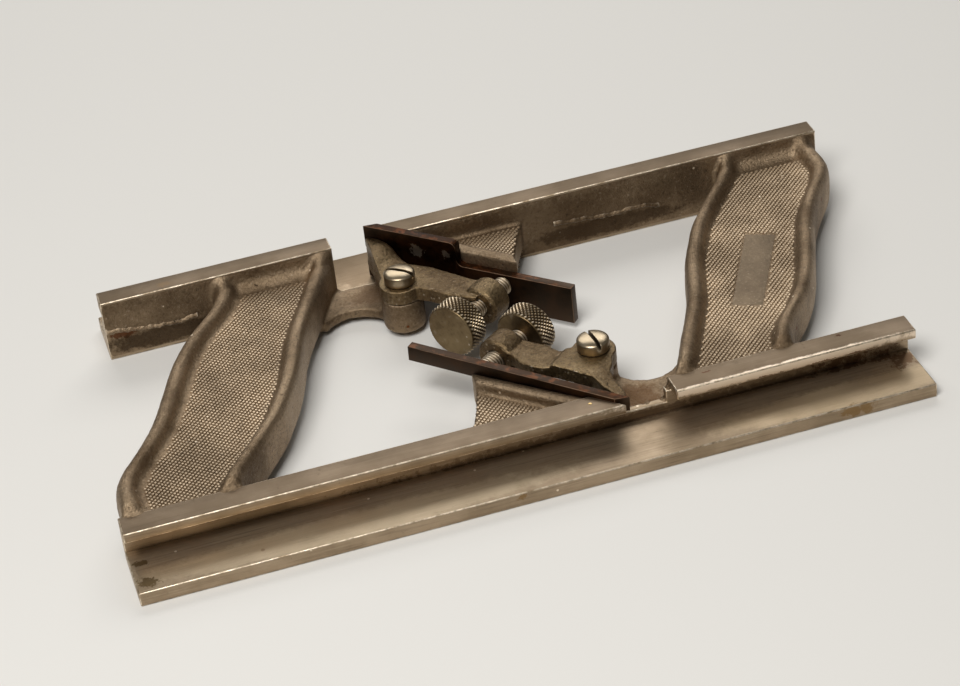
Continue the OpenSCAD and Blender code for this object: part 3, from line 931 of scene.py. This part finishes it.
    def grooving_rail(self) -> None:
        """Front rail: fence, depth stop and skate, with the mouth cut through."""
        fence, stop = -self.half - self.proud, -self.stop - self.proud
        skate = stop - self.skate_reach
        floor, top = self.fence_thick + self.proud, self.skate_top + self.proud
        profile = self.back_face(-1, self.stop - self.stop_web, top) + [
            (fence, 0), (fence, floor), (stop, floor), (stop, self.skate_low),
            (skate, self.skate_low), (skate, top)]
        through = self.mouth(self.web_top, self.mouth_end - 1.5, (-69, -41))
        # from the skate's underside up, the mouth ends a little further on
        longer = self.mouth(self.skate_low - 0.01, self.mouth_end, (-57, -40), ahead=10)
        self.rail("grooving_rail", profile, -self.stagger / 2, [through, longer])

    def tonguing_rail(self) -> None:
        """Rear rail: sole with its tongue slot on a fence, with the mouth cut through."""
        sole = self.half - self.tongue_fence
        fence, face, deep = self.half + self.proud, sole + self.proud, sole - self.slot_depth
        floor, top = self.fence_thick + self.proud, self.sole_top + self.proud
        profile = self.back_face(1, sole - self.sole_thick, top) + [
            (fence, 0), (fence, floor), (face, floor), (face, self.slot_low), (deep, self.slot_low),
            (deep, self.slot_top), (face, self.slot_top), (face, top)]
        space = self.mouth(floor, self.mouth_end, (-sole - 1, -sole + self.sole_thick + 3))
        space.transform(Matrix.Rotation(Half.TONGUING.value, 4, "Z"))
        self.rail("tonguing_rail", profile, self.stagger / 2, [space])

    def plug(self) -> None:
        """Small bright plug in the top of the skate's rail, beside the mouth."""
        made = revolve([(0, -0.3), (0.55, -0.3), (0.55, 0.02), (0.4, 0.1), (0, 0.14)], 24)
        place = Vector((self.plug_x, -self.stop - self.plug_inset, self.skate_top + self.proud))
        made.transform(Matrix.Translation(place * MM))
        self.shop.deliver(as_object(made, "rail_plug"), "stock", Slot.NICKEL, [BRASS], crisp=40)

    def flash_line(self, wall: BVHTree, path: Sequence[tuple[float, float]], number: int) -> None:
        """Ragged flash where the mould's halves met, on the inner face of the tonguing rail.

        Args:
            wall: Casting whose wall the line runs on.
            path: Places along the line, as X and Z.
            number: Number of the line, which also chooses how it wanders.
        """
        section = [(0.5, -0.5), (-0.45, -0.3), (-0.65, -0.05), (-0.55, 0.2), (-0.2, 0.7),
                   (0.5, 1.3)]
        step, in_front = 0.5, 46
        places = []
        for (x0, z0), (x1, z1) in zip(path, path[1:]):
            count = round((x1 - x0) / step)
            for k in range(count):
                start = Vector((x0 + (x1 - x0) * k / count, in_front, z0 + (z1 - z0) * k / count))
                at = wall.ray_cast(start * MM, Vector((0, 1, 0)))[0] / MM
                wild = Vector((at.x * 0.35, number * 10, 0))
                out, up = (noise.fractal(wild + Vector((0, far, 0)), 0.7, 2.2, 4) for far in (0, 5))
                places.append(at + Vector((0, 0.4 * out, 0.45 * up)))
        made = bmesh.new()
        verts = [made.verts.new((places[0] + Vector((0, y, z))) * MM) for y, z in section]
        geom = [made.faces.new(verts)]
        for here, there in zip(places, places[1:]):
            grown = bmesh.ops.extrude_face_region(made, geom=geom)["geom"]
            verts = [g for g in grown if isinstance(g, bmesh.types.BMVert)]
            bmesh.ops.delete(made, geom=geom, context="FACES_ONLY")
            geom = [g for g in grown if isinstance(g, bmesh.types.BMFace)]
            bmesh.ops.translate(made, verts=verts, vec=(there - here) * MM)
        bmesh.ops.holes_fill(made, edges=made.edges)
        bmesh.ops.recalc_face_normals(made, faces=made.faces)
        thing = as_object(made, f"flash_line_{number}")
        self.shop.deliver(thing, "stock", Slot.NICKEL, [CAST], crisp=60)


# Cutters, levers and screws


@dataclass
class Hardware:
    """Cutter, clamp lever and screws of one half."""

    shop: Shop
    half: Half
    # from the pivot screw to the thumb screw, along the cutter
    arm: float
    # from the lever's barrel to the knurled head
    head_gap: float
    # turn of the pivot screw's slot, in degrees
    slot_turn: float
    cutter_offset: float = 22.2
    cutter_wear: float = 0.14
    pivot_along: float = 35.3
    pivot_across: float = 6.2
    screw_height: float = 12.2
    screw_tilt: float = 6.0
    barrel_gap: float = 6.8
    barrel_length: float = 8.3
    thumb_radius: float = 2.9
    thread_depth: float = 0.62
    thread_pitch: float = 1.05
    knurl_radius: float = 8.3
    knurl_length: float = 7.1
    knurl_depth: float = 0.55
    lever_top: float = 16.6
    pivot_head_radius: float = 4.7
    pivot_head_height: float = 3.2
    pivot_dome: float = 1.2
    pivot_shank_radius: float = 2.4
    pivot_shank_length: float = 14.4
    pivot_slot_width: float = 1.1

    def build(self) -> None:
        """Makes the hardware of this half."""
        self.cutter()
        self.lever()
        self.pivot_screw()
        self.thumb_screw()

    def seat(self, along: float, across: float, height: float) -> Matrix:
        """Place on the cutter's line.

        Args:
            along: Distance along the cutter towards its edge, in millimetres.
            across: Distance away from the bed.
            height: Height above the fences' undersides.

        Returns:
            Matrix whose X runs along the cutter, Y away from the bed and Z up.
        """
        turn = Matrix.Rotation(self.half.value - math.pi / 4, 4, "Z")
        return turn @ Matrix.Translation(Vector((along, across, height)) * MM)

    def cutter(self) -> None:
        """Flat cutter with slightly worn edges."""
        name = f"{self.half.word}_cutter"
        made = cad_copy(self.shop.node(name))
        bmesh.ops.dissolve_limit(made, angle_limit=math.radians(1), verts=made.verts,
                                 edges=made.edges)
        thing = as_object(made, f"{name}_steel")
        ease_edges(thing, self.cutter_wear, worn=True)
        self.shop.deliver(thing, name, Slot.STEEL, [BLADE, BLADE_EDGE], crisp=40, replaces=name)

    def lever(self) -> None:
        """Cast clamp lever with its barrel."""
        node = f"{self.half.word}_clamp_lever"
        thing = as_object(cad_copy(self.shop.node(node)), f"{node}_casting")
        soften(thing, voxel_mm=0.26, rounds=8)
        roughen(thing, size_mm=1.3, depth_mm=0.06)
        self.shop.deliver(thing, f"{self.half.word}_lever", Slot.NICKEL, [LEVER], replaces=node)

    def pivot_screw(self) -> None:
        """Domed, slotted pivot screw."""
        name = f"{self.half.word}_pivot_screw"
        r, rim, crown = self.pivot_head_radius, self.pivot_head_height - 0.25, 10
        dome, shank, deep = self.pivot_dome, self.pivot_shank_radius, -self.pivot_shank_length
        arc = [(r * math.cos(a) ** 0.8, rim + dome * math.sin(a)) for a in
               (math.pi / 2 * k / crown for k in range(1, crown))]
        profile = [(0, deep), (shank, deep), (shank, 0), (r - 0.3, 0), (r, 0.3), (r, rim), *arc,
                   (0, rim + dome)]
        thing = as_object(revolve(profile, 64), f"{name}_head")
        # the slot runs right across, to 1 mm below the dome's rim
        carve(thing, [block((14, self.pivot_slot_width, 4), (0, 0, rim + 1), self.slot_turn)])
        ease_edges(thing, 0.1, segments=2, angle=35)
        thing.data.transform(self.seat(self.pivot_along, -self.pivot_across, self.lever_top))
        self.shop.deliver(thing, "stock", Slot.POLISHED, [SCREW], crisp=35, replaces=name)

    def thread(self, start: float, end: float) -> bmesh.types.BMesh:
        """Helical thread ridge round Z.

        Args:
            start: Height of the thread's start, in millimetres.
            end: Height of its end.

        Returns:
            The closed ridge.
        """
        steps, pitch = 28, self.thread_pitch
        crest, root = self.thumb_radius, self.thumb_radius - self.thread_depth
        made = bmesh.new()
        lift = made.verts.layers.float.new("lift")
        # the ridge's section, as radius and share of the pitch
        corners = [(root - 0.2, 0), (root, 0), (crest, 0.42), (crest, 0.58), (root, 0.98),
                   (root - 0.2, 0.98)]
        verts = [made.verts.new((r * MM, 0, (start + pitch * share) * MM)) for r, share in corners]
        for vert, (r, _) in zip(verts, corners):
            # a low lift gets painted shade in the thread's roots, a high one bright wear on its
            # crest
            vert[lift] = 0.9 if r == crest else 0.2
        turns = (end - start) / pitch - 1
        bmesh.ops.spin(made, geom=[made.faces.new(verts)], cent=(0, 0, 0), axis=(0, 0, 1),
                       angle=math.tau * turns, steps=int(steps * turns),
                       dvec=(0, 0, pitch * MM / steps))
        bmesh.ops.recalc_face_normals(made, faces=made.faces)
        return made

    def knurl(self, start: float) -> bmesh.types.BMesh:
        """Knurled head with raised diamonds round its rim.

        Args:
            start: Height of the head's near face, in millimetres.

        Returns:
            The closed head.
        """
        around, rows, chamfer = 76, 9, 0.16
        r, length = self.knurl_radius, self.knurl_length
        low = r - self.knurl_depth
        pitch = (length - 2 * chamfer) / rows
        band = [(low, start + chamfer + pitch * k) for k in range(rows + 1)]
        face = [(0, start), (r - 1.6, start), (low - chamfer, start)]
        profile = face + band + [(p[0], 2 * start + length - p[1]) for p in reversed(face)]
        made = revolve(profile, around)
        # the lift sets painted shade in the knurl's grooves and bright wear on its points
        lift = made.verts.layers.float.new("lift")
        raised = set()
        for vert in made.verts:
            row = (vert.co.z / MM - start - chamfer) / pitch
            on_band = abs(math.hypot(vert.co.x, vert.co.y) / MM - low) < 0.01
            if not on_band or not 0.5 < row < rows - 0.5:
                vert[lift] = 0.3
                continue
            column = round(math.atan2(vert.co.y, vert.co.x) / (math.tau / around))
            if (round(row) + column) % 2 == 0:
                raised.add(vert)
        for vert in raised:
            vert.co.xy = vert.co.xy * (r / low)
            vert[lift] = 1.0
        # each facet is split between its low corners, so the raised ones become points
        for facet in made.faces[:]:
            corners = [v for v in facet.verts if v not in raised]
            if len(facet.verts) == 4 and len(corners) == 2:
                bmesh.utils.face_split(facet, *corners)
        return made

    def thumb_screw(self) -> None:
        """Thumb screw with domed tip, threaded shank and knurled head."""
        name = f"{self.half.word}_thumb_screw"
        head = self.barrel_gap + self.barrel_length + self.head_gap
        # the core fills the thread's root
        core = self.thumb_radius - 0.55
        shank = revolve([(0, 0.05), (core * 0.4, 0.2), (core * 0.8, 0.6), (core, 1.1),
                         (core, head + 1), (0, head + 1)], 32)
        lift = shank.verts.layers.float.new("lift")
        # a middle lift gives the shank a little painted shade
        for vert in shank.verts:
            vert[lift] = 0.5
        whole = bmesh.new()
        for part in (shank, self.thread(0.9, head + 0.4), self.knurl(head)):
            add_mesh(whole, part)
        thing = as_object(whole, f"{name}_turned")
        lay = (Matrix.Rotation(-math.radians(self.screw_tilt), 4, "Z")
               @ Matrix.Rotation(-math.pi / 2, 4, "X"))
        place = self.seat(self.pivot_along - self.arm, -self.cutter_offset, self.screw_height)
        thing.data.transform(place @ lay)
        self.shop.deliver(thing, name, Slot.POLISHED, [KNURLED], crisp=30, replaces=name)


# Checkering


@dataclass
class Checkering:
    """Raised diamonds on the panels of the handles and beds, and the bare patch."""

    shop: Shop
    spacing: float = 1.13
    height: float = 0.3
    sunk: float = 0.14
    # length and depth of the plan that the grid covers
    cover: tuple[float, float] = (244.0, 108.0)
    front: float = -47.3
    back: float = 50.0
    # how far from a diamond its panel still has to be level, by direction
    border: float = 0.4
    outer_border: float = 2.0
    rear_border: float = 1.4
    # how far a panel may leave its level; the handles' panels turn up at their rims
    slack: float = 0.06
    rise: float = 0.55
    webs_end: float = 38.0
    left_handle_from: float = -40.0
    levels_up: Sequence[float] = (13.6, 10.0, 13.0)
    levels_down: Sequence[float] = (6.4, 4.5)
    patch_centre: tuple[float, float] = (78.3, -6.0)
    patch_size: tuple[float, float] = (38.6, 8.9)
    patch_turn: float = 63.0

    def build(self) -> None:
        """Makes the diamonds of the upper and lower panels, and the bare patch."""
        skin = self.shop.casting()
        for up in (True, False):
            self.panels(skin, up)
        self.bare_patch()

    def grid(self, up: bool) -> bmesh.types.BMesh:
        """Diagonal grid of diamonds over the whole plan, at height zero.

        Args:
            up: Whether the diamonds point up.

        Returns:
            All diamonds.
        """
        made = bmesh.new()
        # neighbours nearly touch at their feet, and each has a small flat top
        side, top = self.spacing * 0.98, 0.36
        bmesh.ops.create_cone(made, cap_ends=True, cap_tris=False, segments=4,
                              radius1=side / math.sqrt(2) * MM, radius2=side * top * MM,
                              depth=(self.height + self.sunk) * MM)
        # the lift sets painted shade at the diamonds' feet and bright wear on their tops
        lift = made.verts.layers.float.new("lift")
        for vert in made.verts:
            vert[lift] = 1.0 if vert.co.z > 0 else 0.0
        pitch = self.spacing * math.sqrt(2)
        across, deep = (int(length / pitch) for length in self.cover)
        corner = Vector((-across / 2, -deep / 2, 0)) * pitch
        seated = Vector((0, 0, (self.height - self.sunk) / 2))
        made.transform(Matrix.Translation(corner * MM)
                       @ Matrix.Rotation(0.0 if up else math.pi, 4, "X")
                       @ Matrix.Translation(seated * MM))
        # a second diamond in the middle of each cell, then rows, then columns
        for steps, step in ((1, (pitch / 2, pitch / 2, 0)), (across, (pitch, 0, 0)),
                            (deep, (0, pitch, 0))):
            bmesh.ops.spin(made, geom=made.verts[:] + made.edges[:] + made.faces[:],
                           cent=(0, 0, 0), axis=(0, 0, 1), dvec=Vector(step) * MM, angle=0.0,
                           steps=steps, use_duplicate=True)
        return made

    def level(self, skin: BVHTree, x: float, y: float, up: bool) -> float | None:
        """Height of the panel under a point, or None where a panel ends beside it.

        Args:
            skin: Casting to look at.
            x: Place in metres.
            y: Place in metres.
            up: Whether the panel looks up.

        Returns:
            The panel's height in millimetres.
        """
        if not self.front < y / MM < self.back:
            return None
        sign = 1 if up else -1
        levels = self.levels_up if up else self.levels_down
        left = -self.outer_border if x < self.left_handle_from * MM else -self.border
        rise = self.rise if abs(x) > self.webs_end * MM else self.slack
        middle, away = 10, 30
        found, height = None, 0.0
        for dx, dy in ((0, 0), (self.border, 0), (left, 0), (0, self.rear_border),
                       (0, -self.border)):
            start = Vector((x + dx * MM, y + dy * MM, (middle + sign * away) * MM))
            hit = skin.ray_cast(start, Vector((0, 0, -sign)))[0]
            if hit is None:
                return None
            z = hit.z / MM
            level = min(levels, key=lambda v: abs(v - z))
            if not -self.slack < (z - level) * sign < rise or found not in (None, level):
                return None
            if found is None:
                found, height = level, z
        return height

    def in_patch(self, x: float, y: float) -> bool:
        """Whether a point lies in the bare patch or close beside it.

        Args:
            x: Place in metres.
            y: Place in metres.

        Returns:
            True where no diamond may stand.
        """
        turn, beside = math.radians(self.patch_turn), 0.5
        dx, dy = x / MM - self.patch_centre[0], y / MM - self.patch_centre[1]
        along = dx * math.cos(turn) + dy * math.sin(turn)
        across = dy * math.cos(turn) - dx * math.sin(turn)
        return all(abs(distance) < size / 2 + beside
                   for distance, size in zip((along, across), self.patch_size))

    def panels(self, skin: BVHTree, up: bool) -> None:
        """Keeps the diamonds that stand on a panel and seats them on it.

        Args:
            skin: Casting that they stand on.
            up: Whether the upper panels are meant, or the lower ones.
        """
        made = self.grid(up)
        doomed = []
        for cap in [f for f in made.faces if (f.normal.z > 0.9) == up and abs(f.normal.z) > 0.9]:
            centre = cap.calc_center_median()
            verts = {e.other_vert(v) for v in cap.verts for e in v.link_edges} | set(cap.verts)
            z = self.level(skin, centre.x, centre.y, up)
            if z is None or (up and self.in_patch(centre.x, centre.y)):
                doomed.extend(verts)
            else:
                for vert in verts:
                    vert.co.z += z * MM
        bmesh.ops.delete(made, geom=doomed, context="VERTS")
        thing = as_object(made, "upper_checkering" if up else "lower_checkering")
        self.shop.deliver(thing, "stock", Slot.NICKEL, [CHECKERED], crisp=20)

    def bare_patch(self) -> None:
        """Smooth rectangular patch left bare on the right handle's upper panel."""
        centre = (*self.patch_centre, self.levels_up[0] - 0.2)
        made = block((*self.patch_size, 0.6), centre, self.patch_turn)
        thing = as_object(made, "bare_patch")
        ease_edges(thing, 0.15, segments=2)
        self.shop.deliver(thing, "stock", Slot.NICKEL, [PATCH], crisp=30)


# Studio


@dataclass
class Studio:
    """Pale floor, soft lamps and the camera at the photograph's place."""

    azimuth: float = -12.888
    elevation: float = 33.486
    roll: float = -6.978
    distance: float = 822.93
    target: tuple[float, float, float] = (-2.613, 11.719, 0.0)
    lens: float = 103.77
    floor_colour: str = "#d9d6d0"
    sky_colour: str = "#cfcdc8"
    sky_strength: float = 0.25

    def build(self) -> None:
        """Makes the floor, the lamps, the world and the camera."""
        self.floor()
        self.world()
        self.lamp("key", (-0.35, -0.45, 0.88), (0.5, 0.5), 9.5)
        self.lamp("back", (0.2, 0.8, 0.7), (1.0, 0.5), 5.0)
        self.camera()

    def floor(self) -> None:
        """Plain floor just under the fences."""
        made = bmesh.new()
        below = Matrix.Translation((0, 0, -0.05 * MM))
        bmesh.ops.create_grid(made, x_segments=1, y_segments=1, size=3.0, matrix=below)
        thing = as_object(made, "floor")
        # matt and pale, so that it shows the shadow and no mirror image
        paint = bpy.data.materials.new("matt_studio_floor")
        paint.use_nodes = True
        shader = paint.node_tree.nodes["Principled BSDF"]
        shader.inputs["Base Color"].default_value = linear(self.floor_colour)
        shader.inputs["Roughness"].default_value = 0.8
        thing.data.materials.append(paint)

    def world(self) -> None:
        """Even pale surroundings."""
        world = bpy.data.worlds.new("studio")
        world.use_nodes = True
        back = world.node_tree.nodes["Background"]
        back.inputs["Color"].default_value = linear(self.sky_colour)
        back.inputs["Strength"].default_value = self.sky_strength
        bpy.context.scene.world = world

    def lamp(self, name: str, place: tuple[float, float, float], size: tuple[float, float],
             power: float) -> None:
        """Adds a soft rectangular lamp that looks at the object.

        Args:
            name: Name of the lamp.
            place: Its place in metres.
            size: Its width and height in metres.
            power: Its power in watts.
        """
        light = bpy.data.lights.new(name, "AREA")
        light.shape = "RECTANGLE"
        light.size, light.size_y = size
        light.energy = power
        thing = bpy.data.objects.new(name, light)
        thing.location = place
        thing.rotation_euler = (-Vector(place)).to_track_quat("-Z", "Y").to_euler()
        bpy.context.scene.collection.objects.link(thing)

    def camera(self) -> None:
        """Camera solved from the photograph."""
        a, e, roll = (math.radians(v) for v in (self.azimuth, self.elevation, self.roll))
        back = Vector((math.sin(a) * math.cos(e), -math.cos(a) * math.cos(e), math.sin(e)))
        right = (-back).cross(Vector((0, 0, 1))).normalized()
        up = right.cross(-back)
        x = right * math.cos(roll) + up * math.sin(roll)
        y = up * math.cos(roll) - right * math.sin(roll)
        data = bpy.data.cameras.new("camera")
        data.lens = self.lens
        data.sensor_width = 36.0
        data.clip_start, data.clip_end = 0.01, 20
        thing = bpy.data.objects.new("camera", data)
        place = (Vector(self.target) + back * self.distance) * MM
        thing.matrix_world = (Matrix.Translation(place)
                              @ Matrix((x, y, back)).transposed().to_4x4())
        bpy.context.scene.collection.objects.link(thing)
        bpy.context.scene.camera = thing


def main() -> None:
    """Builds the plane and its studio."""
    logging.basicConfig(level=logging.INFO, format="%(name)s: %(message)s")
    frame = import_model()
    shop = Shop(frame)
    Stock(shop).build()
    Hardware(shop, Half.GROOVING, arm=28.0, head_gap=4.3, slot_turn=-40.0).build()
    Hardware(shop, Half.TONGUING, arm=27.1, head_gap=7.1, slot_turn=4.0).build()
    Checkering(shop).build()
    Studio().build()
    bpy.context.scene.view_settings.view_transform = "Standard"
    LOG.info("boxes written")


if __name__ == "__main__":
    main()
